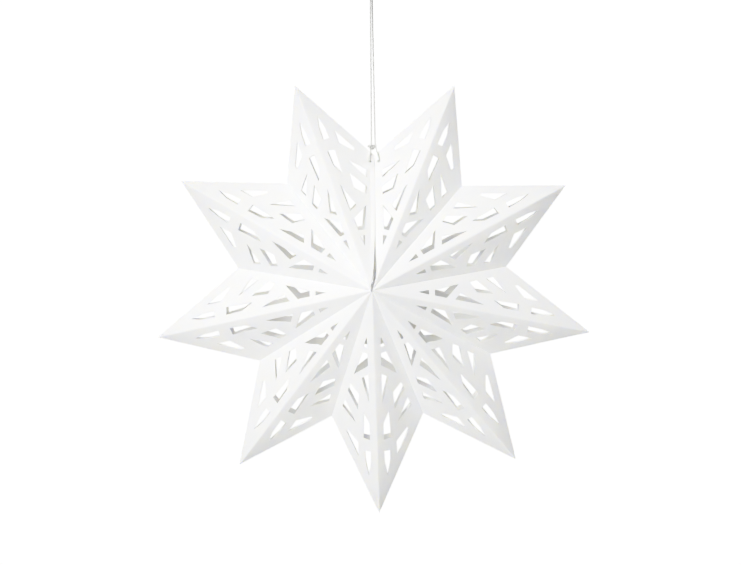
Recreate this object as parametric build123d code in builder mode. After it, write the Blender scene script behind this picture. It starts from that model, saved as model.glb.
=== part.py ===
"""Hanging paper star: folded and slotted points, glued along their valleys, tied shut and hung by a string.

Frame: +Z is up, +X is to the right and the front face looks along -Y. The origin is the place where the
loop of string bears on its hook. Lengths are in millimetres.
"""

import math
import os

from build123d import *

# The star
POINT_COUNT = 9
TIP_RADIUS = 225.0  # star centre to the tip of a point
NOTCH_RADIUS = 140.0  # star centre to the notch between two points
APEX_HEIGHT = 68.0  # mid plane to the middle of the front face
PAPER = 0.3  # thickness of the card
CENTRE_TRIM = 1.2  # the inner corner of each sheet is nipped off this far from the star's axis

# Glue flaps, folded inwards along the valleys
FLAP_WIDTH = 9.0
FLAP_TAPER = 14.0  # length of the slanting end of a flap
FLAP_NOTCH_GAP = 16.0  # bare stretch of valley beside the notch, where the string passes
FLAP_APEX_GAP = 6.0  # bare stretch of valley beside the middle of the face

# Lap inside the rear ridge, where a sheet closes on itself
LAP_WIDTH = 6.0
LAP_END_GAP = 20.0

# Slit between the last point and the first, tied shut through two punched holes
SLIT_AT_NOTCH = 0.4
SLIT_AT_CENTRE = 3.4
TIE_HOLE = 3.2  # diameter
TIE_HOLE_DROP = 8.4  # from the notch, along the valley
TIE_HOLE_INSET = 4.3  # from the valley, across the panel

# Slots of one panel. A corner is given by its share of the ridge and its share of the valley, both
# counted from the middle of the face, so that the pattern stretches with the panel.
SLOT_SHARES = {
    "heart": [(0.115, 0.151), (0.170, 0.140), (0.117, 0.226)],
    "inner_wing": [(0.194, 0.144), (0.249, 0.144), (0.108, 0.464), (0.127, 0.253)],
    "inner_kite": [(0.289, 0.138), (0.419, 0.142), (0.241, 0.277), (0.221, 0.289)],
    "outer_kite": [(0.382, 0.273), (0.502, 0.155), (0.583, 0.144), (0.488, 0.297)],
    "tip_leaf": [(0.634, 0.146), (0.695, 0.155), (0.712, 0.207), (0.616, 0.267), (0.559, 0.275)],
    "inner_branch": [(0.106, 0.544), (0.250, 0.366), (0.305, 0.400), (0.096, 0.615)],
    "middle_branch": [(0.101, 0.677), (0.332, 0.457), (0.200, 0.619), (0.093, 0.748)],
    "outer_branch": [(0.253, 0.648), (0.441, 0.418), (0.502, 0.424), (0.248, 0.677)],
}

# String
CORD = 1.5  # diameter
HANG_DROP = 315.0  # hook to star centre
KNOT_LENGTH = 8.4
KNOT_THICKNESS = 4.4
KNOT_CHAMFER = 1.2
KNOT_FROM_NOTCH = (0.0, -1.6, 5.0)
END_KNOT_LENGTH = 5.8  # the knot that joins the string's ends behind the slit
END_KNOT_THICKNESS = 4.0
END_KNOT_FROM_NOTCH = (0.0, 0.6, -9.9)
STRAND_SPREAD = 1.9  # each strand leaves a knot this far from its middle
LEG_BEND_FROM_NOTCH = (5.0, -6.7, -5.7)  # where the right leg turns into its hole
LEG_BEND_RADIUS = 1.5
HOOK_BEND = (0.0, 3.0, 0.75)  # corner of the loop behind the hook, mirrored at the front
HOOK_BEND_RADIUS = 2.7

os.makedirs("parts", exist_ok=True)

# A point is drawn with its tip on +X, the star's axis along Y and its front towards -Y. The half beside
# +Z is drawn, and the other half is its mirror image.
half_step = math.radians(180 / POINT_COUNT)
apex = Vector(0, -APEX_HEIGHT, 0)
tip = Vector(TIP_RADIUS, 0, 0)
notch = Vector(NOTCH_RADIUS * math.cos(half_step), 0, NOTCH_RADIUS * math.sin(half_step))
ridge = tip - apex
valley = notch - apex
panel_plane = Plane(origin=apex, x_dir=ridge, z_dir=ridge.cross(valley))


def on_panel(ridge_share, valley_share):
    """A place on the panel, in the panel plane's own coordinates."""
    return panel_plane.to_local_coords(apex + ridge * ridge_share + valley * valley_share)


def side_plane(gap_at_notch, gap_at_axis):
    """Upright plane along a point's valleys, set back from the neighbour by half of each gap."""
    to_neighbour = Vector(-math.sin(half_step), 0, math.cos(half_step))
    at_notch = notch - to_neighbour * (gap_at_notch / 2)
    at_axis = to_neighbour * (-gap_at_axis / 2)
    inwards = at_axis - at_notch
    return Plane(origin=at_notch, x_dir=inwards, z_dir=Vector(0, 1, 0).cross(inwards))


def crossing(plane, start, direction):
    """The place where a straight line crosses a plane."""
    share = (plane.origin - start).dot(plane.z_dir) / direction.dot(plane.z_dir)
    return start + direction * share


def build_half(slit=False, lap=False):
    """Half a point: the front and back panels beside one valley, with their glue flaps."""
    side = side_plane(SLIT_AT_NOTCH, SLIT_AT_CENTRE) if slit else side_plane(0, 0)
    valley_end = crossing(side, notch, tip - notch)
    valley_start = crossing(side, apex, tip - notch)
    along = (valley_start - valley_end).normalized()
    flap_inwards = along.cross(side.z_dir)
    into_panel = panel_plane.z_dir.cross(along)
    hole = valley_end + along * TIE_HOLE_DROP + into_panel * TIE_HOLE_INSET
    flap_corners = [
        valley_end + along * FLAP_NOTCH_GAP,
        valley_start - along * FLAP_APEX_GAP,
        valley_start - along * (FLAP_APEX_GAP + FLAP_TAPER) + flap_inwards * FLAP_WIDTH,
        valley_end + along * (FLAP_NOTCH_GAP + FLAP_TAPER) + flap_inwards * FLAP_WIDTH,
    ]
    spare = 0.1  # the blank reaches past its edges, which are mitred afterwards
    blank_corners = [(-spare, -spare), (1 + 2 * spare, -spare), (-spare, 1 + 2 * spare)]
    lap_start = 2 * PAPER
    lap_length = ridge.length - 2 * LAP_END_GAP
    back_plane = Plane(origin=-apex, x_dir=tip + apex, z_dir=(tip + apex).cross(notch + apex))

    with BuildPart() as half:
        with BuildSketch(panel_plane):
            Polygon(*[on_panel(*corner) for corner in blank_corners], align=None)
            for corners in SLOT_SHARES.values():
                Polygon(*[on_panel(*corner) for corner in corners], align=None, mode=Mode.SUBTRACT)
        extrude(amount=-PAPER)
        split(bisect_by=Plane.XY, keep=Keep.TOP)
        split(bisect_by=Plane.XZ, keep=Keep.TOP)
        split(bisect_by=side, keep=Keep.BOTTOM)
        split(bisect_by=Plane.YZ.offset(CENTRE_TRIM), keep=Keep.TOP)
        with BuildSketch(side):
            Polygon(*[side.to_local_coords(corner) for corner in flap_corners], align=None)
        extrude(amount=-PAPER)
        mirror(about=Plane.XZ)
        if slit:
            with BuildSketch(panel_plane):
                with Locations(panel_plane.to_local_coords(hole)):
                    Circle(TIE_HOLE / 2)
            extrude(amount=-2 * PAPER, mode=Mode.SUBTRACT)
        if lap:
            with BuildSketch(back_plane.offset(PAPER)):
                with Locations((ridge.length / 2, lap_start + LAP_WIDTH / 2)):
                    Rectangle(lap_length, LAP_WIDTH)
            extrude(amount=PAPER)
    return half.part


def build_point(left_half, right_half):
    """One folded sheet from its two halves. The right half is turned over to the -Z side."""
    with BuildPart() as point:
        add(left_half)
        mirror(right_half, about=Plane.XY)
    return point.part


# Folded points, numbered clockwise from the slit as the front is seen
plain_half = build_half()
lap_half = build_half(lap=True)
slit_half = build_half(slit=True)
first_point = build_point(slit_half, lap_half)
middle_point = build_point(lap_half, plain_half)
last_point = build_point(lap_half, slit_half)

for number in range(1, POINT_COUNT + 1):
    sheet = middle_point
    if number == 1:
        sheet = first_point
    if number == POINT_COUNT:
        sheet = last_point
    turn = 90 - (number - 0.5) * 360 / POINT_COUNT
    with BuildPart() as paper_point:
        with Locations(Location((0, 0, -HANG_DROP), (0, -turn, 0))):
            add(sheet)
    paper_point.part.label = f"paper_point_{number}"
    export_step(paper_point.part, f"parts/{paper_point.part.label}.step")



def build_strand(route, radii):
    """A length of string along straight runs that are joined by arcs."""
    with BuildPart() as strand:
        with BuildLine() as line:
            FilletPolyline(*route, radius=radii)
        with BuildSketch(Plane(origin=line.line @ 0, z_dir=line.line % 0)):
            Circle(CORD / 2)
        sweep()
    section_times_length = math.pi * CORD**2 / 4 * line.wire().length
    print("string radii", radii, "volume", strand.part.volume, "section times length", section_times_length)
    return strand.part


def build_knot(centre, length, thickness):
    """A knot as a chamfered barrel that lies across the string."""
    with BuildPart() as knot:
        with BuildSketch(Plane(origin=centre, z_dir=(1, 0, 0))):
            Circle(thickness / 2)
        extrude(amount=length / 2, both=True)
        chamfer(knot.edges().filter_by(GeomType.CIRCLE), KNOT_CHAMFER)
    return knot.part


# String: up from the knot on the notch, over the hook and down again. Below the knot its two legs go
# through the tie holes and are knotted together behind the slit.
tied_notch = Vector(0, 0, NOTCH_RADIUS - HANG_DROP)
knot_centre = tied_notch + Vector(*KNOT_FROM_NOTCH)
end_knot_centre = tied_notch + Vector(*END_KNOT_FROM_NOTCH)
to_the_right = Vector(STRAND_SPREAD, 0, 0)
loop_route = [
    knot_centre - to_the_right,
    Vector(HOOK_BEND[0], -HOOK_BEND[1], HOOK_BEND[2]),
    Vector(*HOOK_BEND),
    knot_centre + to_the_right,
]
leg_route = [
    knot_centre + to_the_right,
    tied_notch + Vector(*LEG_BEND_FROM_NOTCH),
    end_knot_centre + to_the_right,
]
loop = build_strand(loop_route, [HOOK_BEND_RADIUS, HOOK_BEND_RADIUS])
right_leg = build_strand(leg_route, [LEG_BEND_RADIUS])

with BuildPart() as hanging_cord:
    add(loop)
    add(right_leg)
    mirror(right_leg, about=Plane.YZ)
    add(build_knot(knot_centre, KNOT_LENGTH, KNOT_THICKNESS))
    add(build_knot(end_knot_centre, END_KNOT_LENGTH, END_KNOT_THICKNESS))
hanging_cord.part.label = "hanging_cord"
export_step(hanging_cord.part, "parts/hanging_cord.step")
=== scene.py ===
"""Hanging paper star: nine folded and slotted points, tied shut at the top by the string that carries it."""

import itertools
import math

import bmesh
import bpy
import numpy
from mathutils import Matrix, Vector


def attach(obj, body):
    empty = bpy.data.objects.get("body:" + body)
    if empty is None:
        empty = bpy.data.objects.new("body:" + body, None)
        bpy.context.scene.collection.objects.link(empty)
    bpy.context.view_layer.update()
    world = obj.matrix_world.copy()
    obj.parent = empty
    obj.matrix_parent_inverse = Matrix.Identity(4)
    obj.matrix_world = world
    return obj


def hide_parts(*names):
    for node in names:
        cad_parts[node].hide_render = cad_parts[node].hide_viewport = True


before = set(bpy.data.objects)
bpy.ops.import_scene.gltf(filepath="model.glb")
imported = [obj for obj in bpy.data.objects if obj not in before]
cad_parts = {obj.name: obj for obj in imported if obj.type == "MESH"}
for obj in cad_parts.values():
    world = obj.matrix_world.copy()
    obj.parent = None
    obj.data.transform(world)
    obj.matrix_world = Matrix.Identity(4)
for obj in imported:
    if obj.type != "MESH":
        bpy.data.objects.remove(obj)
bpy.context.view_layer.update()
scene = bpy.context.scene

# Folded points. Each is one die-cut sheet of stiff white card, scored and folded into a hollow ray. The rays
# are glued to each other by narrow flaps along their valleys, by hand, so no two of them are quite alike.
POINT_COUNT = 9
TIP_RADIUS = 0.225
NOTCH_RADIUS = 0.140
APEX_HEIGHT = 0.068
STAR_CENTRE = Vector((0, 0, -0.315))
HALF_STEP = math.pi / POINT_COUNT

# How far the tips, the notches and the middle of both faces stand off their even places, to the right and
# upwards, in millimetres. The tips are counted clockwise from the one right of the string, the notches from
# the one that carries the string.
TIP_OFFSETS = [(5, -1), (0, -4.5), (-2.5, -3.5), (-1.5, -1), (2, -3), (3, -4), (-2, -5), (-2, 3), (-3, 0)]
NOTCH_OFFSETS = [(0, 0.2), (-1, 1), (-4, 1), (-4, 6), (0, 7), (2, 5), (2, 1), (-2, 2), (1, 5)]
MIDDLE_OFFSET = (-3.5, 7)

FOLD_WIDTH = 0.0012  # a fold turns over this far to each side of its line
FOLD_SLOPE = 0.45  # how much a panel's slope changes on the way to the line
BOW = 0.0011  # how far the middle of a panel stands out
CRISP_ANGLE = math.radians(35)  # an edge that turns by more than this shows as a line

# The slit between the last point and the first. At these shares of the way from the notch to the middle, its
# two lips stand this far to the right of the straight line between them, in millimetres.
SLIT_PLACES = [0.0, 0.2, 0.44, 0.6, 0.72, 0.81, 0.88, 0.93, 0.965, 1.0]
LEFT_LIP = [-0.2, 1.0, 2.0, 2.2, 1.8, 1.5, 0.9, 0.1, -1.0, -1.7]
RIGHT_LIP = [0.2, 1.05, 2.05, 2.4, 3.2, 4.0, 4.1, 3.0, 1.5, 0.9]
LIP_AT_NOTCH = 0.2  # half the gap of the unbent slit, in millimetres
LIP_AT_MIDDLE = 1.7
NARROWEST_PANEL = 0.0005  # beside the middle, where a panel comes to a point

# Along part of the slit the left lip is a strip that turns to face the front, and the panel sinks beside it
STRIP_WIDTH = 0.0046
STRIP_SLOPE = 0.60
STRIP_SINK = 0.0023
STRIP_PLACES = [0.085, 0.145, 0.65, 0.85]  # shares of the way from the notch to the middle
STRIP_TURNS = [0, 1, 1, 0]

# Rows of cuts let the card bend: close together beside the folds, wide apart on the panels, and close again
# along the strip, where the strip begins and where the lips draw together
FOLD_ROWS = [0.25, 0.6, 1.0]  # shares of the fold's width
GRID = 0.012
STRIP_ROWS = [-0.0004, 0, 0.0004, 0.0024, 0.0049]  # distances from the strip's fold
STRIP_START = NOTCH_RADIUS * (1 - STRIP_PLACES[0])
LIP_ROWS = [0.004 * step for step in range(1, 10)]  # distances from the star's axis
LIP_ROWS += [STRIP_START - 0.001 * step for step in range(10)]
SAME_PLACE = 1e-6
ON_ROW = 1e-7


def to_star(offset):
    """An offset in millimetres as a vector in the plane of the star."""
    return Vector((offset[0], 0, offset[1])) / 1000


def softening(distance):
    """How far the card sinks beside a fold line, which makes the fold a small curve."""
    inside = max(FOLD_WIDTH - abs(distance), 0)
    return FOLD_SLOPE * inside * inside / (2 * FOLD_WIDTH)


def bend_lip(right_lip, along, across):
    """How the card beside the slit moves, seen from its own face: sideways, and backwards."""
    from_axis = along * math.cos(HALF_STEP) + abs(across) * math.sin(HALF_STEP)
    from_slit = along * math.sin(HALF_STEP) - abs(across) * math.cos(HALF_STEP)
    share = min(max(1 - from_axis / NOTCH_RADIUS, 0), 1)
    straight_lip = LIP_AT_NOTCH + share * (LIP_AT_MIDDLE - LIP_AT_NOTCH)
    from_lip = max(from_slit - straight_lip / 1000, 0)
    panel_width = from_axis * math.tan(HALF_STEP) - straight_lip / 1000
    fade = max(1 - from_lip / max(panel_width, NARROWEST_PANEL), 0)
    turned = numpy.interp(share, STRIP_PLACES, STRIP_TURNS)
    backwards = -softening(from_slit)  # beside the strip neither lip rolls in
    if right_lip:
        sideways = numpy.interp(share, SLIT_PLACES, RIGHT_LIP) - straight_lip
    else:
        sideways = numpy.interp(share, SLIT_PLACES, LEFT_LIP) + straight_lip
        backwards += STRIP_SINK * fade - STRIP_SLOPE * max(STRIP_WIDTH - from_slit, 0)
    return sideways * fade / 1000, turned * backwards


def cut_rows(card, slit_side):
    """Cuts the card of a point along its rows. A point whose slit side is 0 has no slit."""
    rows = []
    for side in (-1, 1):
        from_valley = Vector((math.sin(HALF_STEP), 0, -side * math.cos(HALF_STEP)))
        for share in FOLD_ROWS:
            rows.append((Vector((0, 0, 1)), side * share * FOLD_WIDTH))
            rows.append((Vector((0, 1, 0)), side * share * FOLD_WIDTH))
            rows.append((from_valley, share * FOLD_WIDTH))
    for step in range(1, int(TIP_RADIUS / GRID) + 1):
        rows.append((Vector((1, 0, 0)), step * GRID))
    for step in range(-4, 4):
        rows.append((Vector((0, 0, 1)), (step + 0.5) * GRID))
    if slit_side:
        from_slit = Vector((math.sin(HALF_STEP), 0, -slit_side * math.cos(HALF_STEP)))
        outwards = Vector((math.cos(HALF_STEP), 0, slit_side * math.sin(HALF_STEP)))
        for from_fold in STRIP_ROWS:
            rows.append((from_slit, STRIP_WIDTH + from_fold))
        for from_axis in LIP_ROWS:
            rows.append((outwards, from_axis))
    for heading, distance in rows:
        geometry = card.verts[:] + card.edges[:] + card.faces[:]
        place = heading * distance
        bmesh.ops.bisect_plane(card, geom=geometry, dist=ON_ROW, plane_co=place, plane_no=heading)


def fold_point(number):
    """The card of one point, refined from its solid, with soft folds and the unevenness of hand work."""
    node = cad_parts[f"paper_point_{number}"]
    turn = math.pi / 2 - (number - 0.5) * 2 * HALF_STEP
    from_own_frame = Matrix.Translation(STAR_CENTRE) @ Matrix.Rotation(-turn, 4, "Y")
    slit_side = {1: 1, POINT_COUNT: -1}.get(number, 0)
    card = bmesh.new()
    card.from_mesh(node.data)
    bmesh.ops.remove_doubles(card, verts=card.verts, dist=SAME_PLACE)
    bmesh.ops.transform(card, matrix=from_own_frame.inverted(), verts=card.verts)
    cut_rows(card, slit_side)

    tip_shift = to_star(TIP_OFFSETS[number - 1])
    notch_shifts = [to_star(NOTCH_OFFSETS[number - 1]), to_star(NOTCH_OFFSETS[number % POINT_COUNT])]
    middle_shift = to_star(MIDDLE_OFFSET)
    notch_along = NOTCH_RADIUS * math.cos(HALF_STEP)
    notch_across = NOTCH_RADIUS * math.sin(HALF_STEP)
    for vertex in card.verts:
        along, depth, across = vertex.co
        to_front = -1 if depth > 0 else 1
        to_valley = along * math.sin(HALF_STEP) - abs(across) * math.cos(HALF_STEP)
        notch_share = abs(across) / notch_across
        tip_share = max((along - notch_share * notch_along) / TIP_RADIUS, 0)
        apex_share = abs(depth) / APEX_HEIGHT

        # The ridges and valleys sink, but never through the mid plane, and the outer edges draw in. A panel
        # bows between its three folds: in its middle each of the three shares is a third.
        sink = min(softening(across) + softening(to_valley), abs(depth) / 2)
        bow = BOW * (3 * notch_share) * (3 * tip_share) * (3 * apex_share)
        vertex.co.y += to_front * (sink - bow)
        vertex.co.x -= softening(depth)

        shift = tip_share * tip_shift
        shift += notch_share * notch_shifts[0 if across > 0 else 1]
        shift += apex_share * middle_shift
        if across * slit_side > 0:
            sideways, backwards = bend_lip((number == 1) == (depth < 0), along, across)
            shift += to_front * Vector((sideways, backwards, 0))
        vertex.co = from_own_frame @ vertex.co + shift

    for edge in card.edges:
        if len(edge.link_faces) == 2 and edge.calc_face_angle() > CRISP_ANGLE:
            edge.smooth = False
    for face in card.faces:
        face.smooth = True
    mesh = bpy.data.meshes.new(f"folded_point_{number}")
    card.to_mesh(mesh)
    card.free()
    point = bpy.data.objects.new(mesh.name, mesh)
    scene.collection.objects.link(point)
    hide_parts(node.name)
    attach(point, "root")
    return point


# Uncoated card: cloudy white, a fine felt of fibres, and light that sinks in and comes out behind
CARD_WHITES = [(0.95, 0.95, 0.938, 1), (0.975, 0.975, 0.967, 1)]
white_card = bpy.data.materials.new("white_card")
white_card.use_nodes = True
card_nodes = white_card.node_tree.nodes
card_links = white_card.node_tree.links
card_shader = card_nodes["Principled BSDF"]
card_shader.inputs["Specular IOR Level"].default_value = 0.25
card_shader.inputs["Subsurface Weight"].default_value = 0.9
card_shader.inputs["Subsurface Radius"].default_value = (1.0, 0.95, 0.8)
card_shader.inputs["Subsurface Scale"].default_value = 0.0003
place_on_card = card_nodes.new("ShaderNodeTexCoord")
clouds = card_nodes.new("ShaderNodeTexNoise")
clouds.inputs["Scale"].default_value = 45
clouds.inputs["Detail"].default_value = 4
card_links.new(place_on_card.outputs["Object"], clouds.inputs["Vector"])
card_white = card_nodes.new("ShaderNodeValToRGB")
card_white.color_ramp.elements[0].position = 0.3
card_white.color_ramp.elements[0].color = CARD_WHITES[0]
card_white.color_ramp.elements[1].position = 0.7
card_white.color_ramp.elements[1].color = CARD_WHITES[1]
card_links.new(clouds.outputs["Fac"], card_white.inputs["Fac"])
card_links.new(card_white.outputs["Color"], card_shader.inputs["Base Color"])
fibres = card_nodes.new("ShaderNodeTexNoise")
fibres.inputs["Scale"].default_value = 900
fibres.inputs["Detail"].default_value = 6
fibres.inputs["Roughness"].default_value = 0.65
fibres.inputs["Distortion"].default_value = 0.8
card_links.new(place_on_card.outputs["Object"], fibres.inputs["Vector"])
dullness = card_nodes.new("ShaderNodeMapRange")
dullness.inputs["To Min"].default_value = 0.8
dullness.inputs["To Max"].default_value = 0.96
card_links.new(fibres.outputs["Fac"], dullness.inputs["Value"])
card_links.new(dullness.outputs["Result"], card_shader.inputs["Roughness"])
felt = card_nodes.new("ShaderNodeBump")
felt.inputs["Strength"].default_value = 0.25
felt.inputs["Distance"].default_value = 0.00012
card_links.new(fibres.outputs["Fac"], felt.inputs["Height"])
card_links.new(felt.outputs["Normal"], card_shader.inputs["Normal"])

for number in range(1, POINT_COUNT + 1):
    fold_point(number).data.materials.append(white_card)

# String. One length of three-ply white cotton goes through both tie holes, is knotted on the notch with its
# two strands side by side, and runs up doubled to the hook. Its ends are knotted together behind the slit.
STRING_DIAMETER = 0.0015
PLY_COUNT = 3
PLY_RADIUS = 0.00036
PLY_PITCH = 0.0065
PLY_STEP = 0.0005  # spacing of the places along the string that a ply goes through

# Places along the string, in millimetres from the hook
STRING_ROUTE = [
    (-2.1, 0.6, -184.2),  # in the knot of the ends
    (-3.7, -4.2, -181.5),  # behind the left hole
    (-5.2, -7.5, -179.4),  # before the left hole
    (-2.9, -3.2, -166.2),  # in the knot on the notch
    (-2.8, -2.7, -155.0),
    (-2.5, -2.9, -8.4),
    (-2.4, -3.0, 0.75),  # on the hook
    (-1.0, 3.0, 0.75),
    (-1.0, 2.7, -8.4),
    (0.8, -2.3, -155.0),
    (0.9, -3.2, -166.2),  # in the knot on the notch
    (5.6, -7.5, -179.4),  # before the right hole
    (4.2, -4.2, -181.5),  # behind the right hole
    (1.7, 0.6, -184.2),  # in the knot of the ends
]
KNOT_CENTRE = Vector((-0.0022, -0.0036, -0.1664))
KNOT_SIZE = Vector((0.0098, 0.0046, 0.0064))
END_KNOT_CENTRE = Vector((-0.0002, 0.0006, -0.1842))
END_KNOT_SIZE = Vector((0.0062, 0.0042, 0.0044))
INNER_STRAND = Vector((0.6, 0.9, 0.5))  # its reach as shares of the outer strand's
KNOT_STEPS = 120
PLAIN_KNOT_WIDTH = 2.76  # half the width of the knot's curve before it is drawn to size
PLAIN_KNOT_HEIGHT = 3  # the same for its height


def twist_plies(name, strands):
    """Three plies twisted around each strand's line of places, as one mesh."""
    yarn = bmesh.new()
    for line, ply in itertools.product(strands, range(PLY_COUNT)):
        curve = bpy.data.curves.new("ply", "CURVE")
        curve.dimensions = "3D"
        curve.bevel_depth = PLY_RADIUS
        curve.bevel_resolution = 1
        curve.use_fill_caps = True
        spline = curve.splines.new("POLY")
        spline.points.add(len(line) - 1)
        heading = (line[1] - line[0]).normalized()
        outwards = heading.orthogonal().normalized()
        angle = 2 * math.pi * ply / PLY_COUNT
        for index, place in enumerate(line):
            if index:
                run = place - line[index - 1]
                turn = heading.rotation_difference(run.normalized())
                outwards = turn @ outwards
                heading = run.normalized()
                angle += 2 * math.pi * run.length / PLY_PITCH
            sideways = heading.cross(outwards)
            reach = STRING_DIAMETER / 2 - PLY_RADIUS
            offset = (outwards * math.cos(angle) + sideways * math.sin(angle)) * reach
            spline.points[index].co = (*(place + offset), 1)
        holder = bpy.data.objects.new("ply", curve)
        yarn.from_mesh(bpy.data.meshes.new_from_object(holder))
        bpy.data.objects.remove(holder)
        bpy.data.curves.remove(curve)
    for face in yarn.faces:
        face.smooth = True
    mesh = bpy.data.meshes.new(name)
    yarn.to_mesh(mesh)
    yarn.free()
    mesh.materials.append(white_cotton)
    piece = bpy.data.objects.new(name, mesh)
    scene.collection.objects.link(piece)
    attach(piece, "root")
    return piece


def tie_knot(name, centre, size):
    """An overhand knot drawn tight. Both strands of the doubled string go round it side by side."""
    outer_reach = (size - Vector((STRING_DIAMETER,) * 3)) / 2
    strands = []
    for strand_reach in (outer_reach, outer_reach * INNER_STRAND):
        line = []
        for step in range(KNOT_STEPS + 1):
            angle = 2 * math.pi * step / KNOT_STEPS
            place = Vector((
                (math.sin(angle) + 2 * math.sin(2 * angle)) / PLAIN_KNOT_WIDTH,
                -math.sin(3 * angle),
                (math.cos(angle) - 2 * math.cos(2 * angle)) / PLAIN_KNOT_HEIGHT,
            ))
            line.append(centre + place * strand_reach)
        strands.append(line)
    return twist_plies(name, strands)


# Bleached cotton yarn: soft, a little fluffy, unevenly white
COTTON_WHITES = [(0.62, 0.62, 0.60, 1), (0.80, 0.80, 0.78, 1)]
white_cotton = bpy.data.materials.new("white_cotton")
white_cotton.use_nodes = True
cotton_nodes = white_cotton.node_tree.nodes
cotton_links = white_cotton.node_tree.links
cotton_shader = cotton_nodes["Principled BSDF"]
cotton_shader.inputs["Roughness"].default_value = 0.95
cotton_shader.inputs["Specular IOR Level"].default_value = 0.15
cotton_shader.inputs["Sheen Weight"].default_value = 0.15
cotton_shader.inputs["Sheen Roughness"].default_value = 0.6
cotton_shader.inputs["Subsurface Weight"].default_value = 0.6
cotton_shader.inputs["Subsurface Radius"].default_value = (1.0, 1.0, 0.95)
cotton_shader.inputs["Subsurface Scale"].default_value = 0.0006
place_on_cotton = cotton_nodes.new("ShaderNodeTexCoord")
fluff = cotton_nodes.new("ShaderNodeTexNoise")
fluff.inputs["Scale"].default_value = 2600
fluff.inputs["Detail"].default_value = 4
cotton_links.new(place_on_cotton.outputs["Object"], fluff.inputs["Vector"])
cotton_white = cotton_nodes.new("ShaderNodeValToRGB")
cotton_white.color_ramp.elements[0].position = 0.3
cotton_white.color_ramp.elements[0].color = COTTON_WHITES[0]
cotton_white.color_ramp.elements[1].position = 0.7
cotton_white.color_ramp.elements[1].color = COTTON_WHITES[1]
cotton_links.new(fluff.outputs["Fac"], cotton_white.inputs["Fac"])
cotton_links.new(cotton_white.outputs["Color"], cotton_shader.inputs["Base Color"])
fuzz = cotton_nodes.new("ShaderNodeBump")
fuzz.inputs["Strength"].default_value = 0.4
fuzz.inputs["Distance"].default_value = 0.0001
cotton_links.new(fluff.outputs["Fac"], fuzz.inputs["Height"])
cotton_links.new(fuzz.outputs["Normal"], cotton_shader.inputs["Normal"])

route = bpy.data.curves.new("string_route", "CURVE")
route.dimensions = "3D"
route.resolution_u = 400
route_spline = route.splines.new("NURBS")
route_spline.points.add(len(STRING_ROUTE) - 1)
for point, place in zip(route_spline.points, STRING_ROUTE):
    point.co = (*(Vector(place) / 1000), 1)
route_spline.order_u = 3
route_spline.use_endpoint_u = True
route_holder = bpy.data.objects.new("string_route", route)
route_mesh = bpy.data.meshes.new_from_object(route_holder)
string_line = [route_mesh.vertices[0].co.copy()]
for vertex in route_mesh.vertices:
    if (vertex.co - string_line[-1]).length >= PLY_STEP:
        string_line.append(vertex.co.copy())
bpy.data.objects.remove(route_holder)
hanging_string = twist_plies("hanging_string", [string_line])
notch_knot = tie_knot("notch_knot", KNOT_CENTRE, KNOT_SIZE)
end_knot = tie_knot("end_knot", END_KNOT_CENTRE, END_KNOT_SIZE)
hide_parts("hanging_cord")

# Studio: a pale floor under the star that fades into a white surround, a broad soft light at the upper left
# and the camera a little above the star's middle.
FLOOR_DROP = 2.2  # from the star's centre
FLOOR_RADIUS = 1.6
FLOOR_GREY = (0.85, 0.85, 0.85, 1)
FADE_START = 0.25  # share of the floor's radius
WHITE = (1, 1, 1, 1)
floor_shape = bmesh.new()
bmesh.ops.create_circle(floor_shape, cap_ends=True, segments=96, radius=FLOOR_RADIUS)
bmesh.ops.translate(floor_shape, vec=STAR_CENTRE - Vector((0, 0, FLOOR_DROP)), verts=floor_shape.verts)
floor_mesh = bpy.data.meshes.new("floor")
floor_shape.to_mesh(floor_mesh)
floor_shape.free()
floor = bpy.data.objects.new("floor", floor_mesh)
scene.collection.objects.link(floor)
pale_floor = bpy.data.materials.new("pale_floor")
pale_floor.use_nodes = True
floor_mesh.materials.append(pale_floor)
floor_nodes = pale_floor.node_tree.nodes
floor_links = pale_floor.node_tree.links
floor_shader = floor_nodes["Principled BSDF"]
floor_shader.inputs["Base Color"].default_value = FLOOR_GREY
floor_shader.inputs["Roughness"].default_value = 0.8
floor_shader.inputs["Emission Color"].default_value = WHITE
floor_shader.inputs["Emission Strength"].default_value = 0.4
place_on_floor = floor_nodes.new("ShaderNodeTexCoord")
flat = floor_nodes.new("ShaderNodeVectorMath")
flat.operation = "MULTIPLY"
flat.inputs[1].default_value = (1, 1, 0)
floor_links.new(place_on_floor.outputs["Object"], flat.inputs[0])
from_middle = floor_nodes.new("ShaderNodeVectorMath")
from_middle.operation = "LENGTH"
floor_links.new(flat.outputs["Vector"], from_middle.inputs[0])
floor_fade = floor_nodes.new("ShaderNodeMapRange")
floor_fade.interpolation_type = "SMOOTHSTEP"
floor_fade.inputs["From Min"].default_value = FADE_START * FLOOR_RADIUS
floor_fade.inputs["From Max"].default_value = FLOOR_RADIUS
floor_links.new(from_middle.outputs["Value"], floor_fade.inputs["Value"])
clear = floor_nodes.new("ShaderNodeBsdfTransparent")
floor_mix = floor_nodes.new("ShaderNodeMixShader")
floor_links.new(floor_fade.outputs["Result"], floor_mix.inputs[0])
floor_links.new(floor_shader.outputs[0], floor_mix.inputs[1])
floor_links.new(clear.outputs[0], floor_mix.inputs[2])
floor_links.new(floor_mix.outputs[0], floor_nodes["Material Output"].inputs["Surface"])

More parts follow.
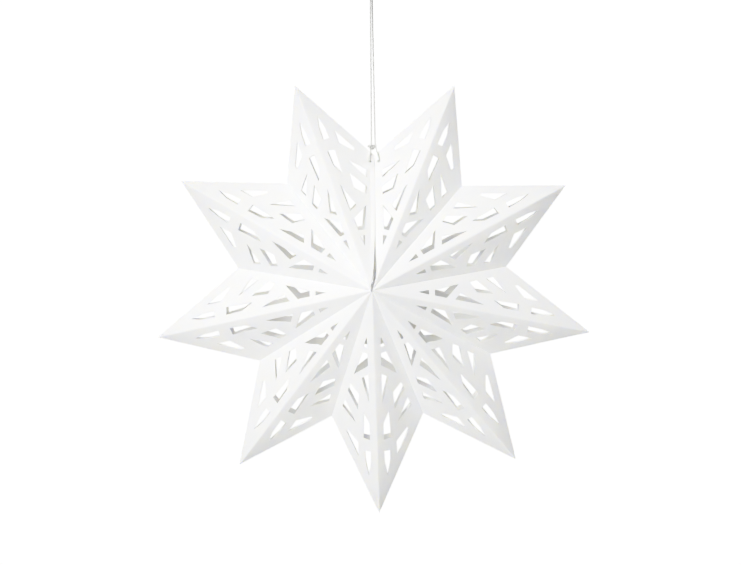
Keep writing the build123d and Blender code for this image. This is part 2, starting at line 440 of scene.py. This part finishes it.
BACK_LIGHT = 1.2  # the white wall behind the star and above it
FRONT_LIGHT = 0.1  # the open room on the camera's side
SEEN_LIGHT = 1.22  # the surround as the camera sees it
BRIGHT_SIDE = (-0.22, 0.88, 0.42)
world = bpy.data.worlds.new("white_surround")
scene.world = world
world.use_nodes = True
surround_nodes = world.node_tree.nodes
surround_links = world.node_tree.links
direction = surround_nodes.new("ShaderNodeTexCoord")
to_bright_side = surround_nodes.new("ShaderNodeVectorMath")
to_bright_side.operation = "DOT_PRODUCT"
to_bright_side.inputs[1].default_value = BRIGHT_SIDE
surround_links.new(direction.outputs["Generated"], to_bright_side.inputs[0])
strength = surround_nodes.new("ShaderNodeMapRange")
strength.interpolation_type = "SMOOTHSTEP"
strength.inputs["From Min"].default_value = -0.1
strength.inputs["From Max"].default_value = 1.0
strength.inputs["To Min"].default_value = FRONT_LIGHT
strength.inputs["To Max"].default_value = BACK_LIGHT
surround_links.new(to_bright_side.outputs["Value"], strength.inputs["Value"])
lit = surround_nodes["Background"]
lit.inputs["Color"].default_value = WHITE
surround_links.new(strength.outputs["Result"], lit.inputs["Strength"])
seen = surround_nodes.new("ShaderNodeBackground")
seen.inputs["Color"].default_value = WHITE
seen.inputs["Strength"].default_value = SEEN_LIGHT
rays = surround_nodes.new("ShaderNodeLightPath")
choose = surround_nodes.new("ShaderNodeMixShader")
surround_links.new(rays.outputs["Is Camera Ray"], choose.inputs[0])
surround_links.new(lit.outputs[0], choose.inputs[1])
surround_links.new(seen.outputs[0], choose.inputs[2])
surround_links.new(choose.outputs[0], surround_nodes["World Output"].inputs["Surface"])

KEY_DIRECTION = Vector((-0.215, -0.950, 0.225))
KEY_DISTANCE = 2.6
key = bpy.data.lights.new("key_softbox", "AREA")
key.shape = "DISK"
key.size = 1.2
key.spread = math.radians(40)
key.energy = 5.05
key_object = bpy.data.objects.new("key_softbox", key)
key_place = STAR_CENTRE + KEY_DIRECTION * KEY_DISTANCE
key_turn = (STAR_CENTRE - key_place).to_track_quat("-Z", "Y")
key_object.matrix_world = Matrix.Translation(key_place) @ key_turn.to_matrix().to_4x4()
scene.collection.objects.link(key_object)

CAMERA_DISTANCE = 2.065
CAMERA_AZIMUTH = math.radians(0.17)
CAMERA_ELEVATION = math.radians(4)
CAMERA_ROLL = math.radians(-0.5)
CAMERA_AIM = STAR_CENTRE + Vector((-0.005, 0, 0.0103))
FOCAL_PIXELS = 2021
PICTURE_WIDTH = 741
towards_camera = Vector((
    math.sin(CAMERA_AZIMUTH) * math.cos(CAMERA_ELEVATION),
    -math.cos(CAMERA_AZIMUTH) * math.cos(CAMERA_ELEVATION),
    math.sin(CAMERA_ELEVATION),
))
camera = bpy.data.cameras.new("camera")
camera.sensor_width = 36
camera.lens = FOCAL_PIXELS / PICTURE_WIDTH * camera.sensor_width
camera.clip_start = 0.05
camera.clip_end = 50
camera_object = bpy.data.objects.new("camera", camera)
camera_place = CAMERA_AIM + towards_camera * CAMERA_DISTANCE
camera_turn = towards_camera.to_track_quat("Z", "Y").to_matrix().to_4x4()
camera_roll = Matrix.Rotation(CAMERA_ROLL, 4, "Z")
camera_object.matrix_world = Matrix.Translation(camera_place) @ camera_turn @ camera_roll
scene.collection.objects.link(camera_object)
scene.camera = camera_object

# Whites are held back softly, so that bright card keeps its tone before the white surround
WHITE_LEVEL = 1.2  # light that is shown as pure white
TONES = [(0.35, 0.35), (0.65, 0.65), (0.85, 0.83), (1.0, 0.91), (1.1, 0.955)]  # light, and how it is shown
scene.view_settings.view_transform = "Standard"
scene.view_settings.use_curve_mapping = True
tone_curve = scene.view_settings.curve_mapping
tone_curve.white_level = (WHITE_LEVEL,) * 3
for light, shown in TONES:
    tone_curve.curves[3].points.new(light / WHITE_LEVEL, shown)
tone_curve.update()
scene.cycles.diffuse_bounces = 8
